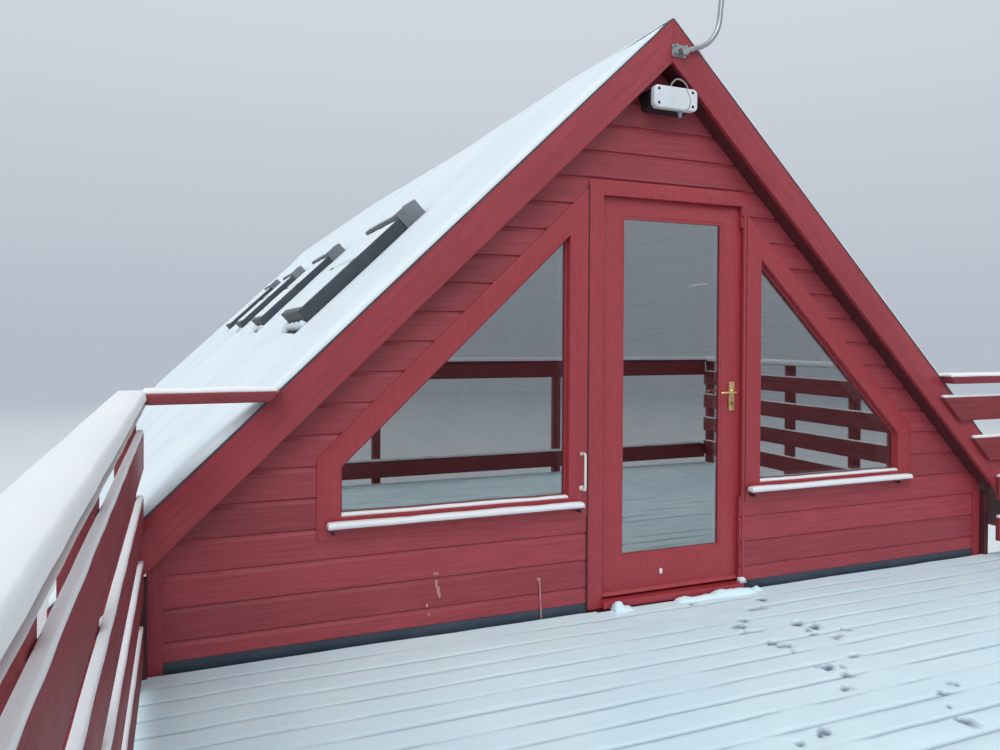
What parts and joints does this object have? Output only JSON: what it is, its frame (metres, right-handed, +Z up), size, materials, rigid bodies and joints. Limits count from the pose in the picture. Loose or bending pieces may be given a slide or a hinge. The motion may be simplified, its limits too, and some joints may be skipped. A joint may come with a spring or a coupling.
{
  "type": "a-frame cabin",
  "caption": "Steep gabled timber cabin on a boarded base, with a glazed gable, a hinged glazed door, roof windows and a raised deck with a balustrade.",
  "frame": {"origin": "foot of the front wall at ground level, under the ridge, in the middle of the wall's thickness", "axes": "+X to the right along the front gable as seen from the deck, +Y from the deck into the building, +Z up"},
  "size_m": [5.687, 15.875, 5.5746],
  "materials": {
    "red_boarding": "painted red, satin",
    "red_trim": "painted red, satin",
    "red_joinery": "painted red, satin",
    "rail_timber": "painted red, weathered",
    "deck_timber": "weathered timber",
    "floor_timber": "sealed boards",
    "concrete": "bare concrete",
    "roof_covering": "dark grey covering",
    "dark_flashing": "dark slate flashing",
    "grey_flashing": "grey flashing",
    "window_glass": "clear glazing",
    "pale_metal": "pale coated metal",
    "grey_plastic": "light grey moulded box",
    "galvanised": "galvanised steel",
    "brass_furniture": "polished brass"
  },
  "bodies": {
    "house": {"side_wall_left": "red_boarding", "side_wall_right": "red_boarding", "front_base_wall": "red_boarding", "front_wall_left": "red_boarding", "front_wall_right": "red_boarding", "front_wall_over_door": "red_boarding", "rear_wall": "red_boarding", "upper_floor": "floor_timber", "base_floor": "concrete", "roof_left": "roof_covering", "roof_right": "roof_covering", "ridge_cap": "roof_covering", "bargeboard_front_left": "red_trim", "bargeboard_front_right": "red_trim", "bargeboards_rear": "red_trim", "eaves_boards": "red_trim", "corner_boards": "red_trim", "base_flashing": "dark_flashing", "door_frame": "red_joinery", "door_threshold": "red_joinery", "window_frame_left": "red_joinery", "window_frame_right": "red_joinery", "window_glass_left": "window_glass", "window_glass_right": "window_glass", "window_sills": "red_joinery", "window_pull_handle": "pale_metal", "rear_window_frames": "red_joinery", "rear_window_glass": "window_glass", "roof_windows_left": "grey_flashing", "roof_windows_right": "grey_flashing", "roof_window_glass": "window_glass", "deck_boards": "deck_timber", "deck_joists": "deck_timber", "deck_beams": "deck_timber", "deck_posts": "deck_timber", "balustrade_left": "rail_timber", "balustrade_front": "rail_timber", "balustrade_right": "rail_timber", "balustrade_return": "rail_timber", "handrails": "rail_timber", "junction_box": "grey_plastic", "aerial_bracket": "galvanised", "aerial_tube": "galvanised", "door_hinges": "brass_furniture"},
    "door": {"door_leaf": "red_joinery", "door_glass": "window_glass", "door_handle": "brass_furniture", "leaf_hinges": "brass_furniture"}
  },
  "joints": [
    {"name": "door_hinge", "type": "hinge", "parent": "house", "child": "door", "pos_m": [-0.3295, -0.015, 3.43], "axis": [0, 0, 1], "range_deg": [0, 90]}
  ]
}
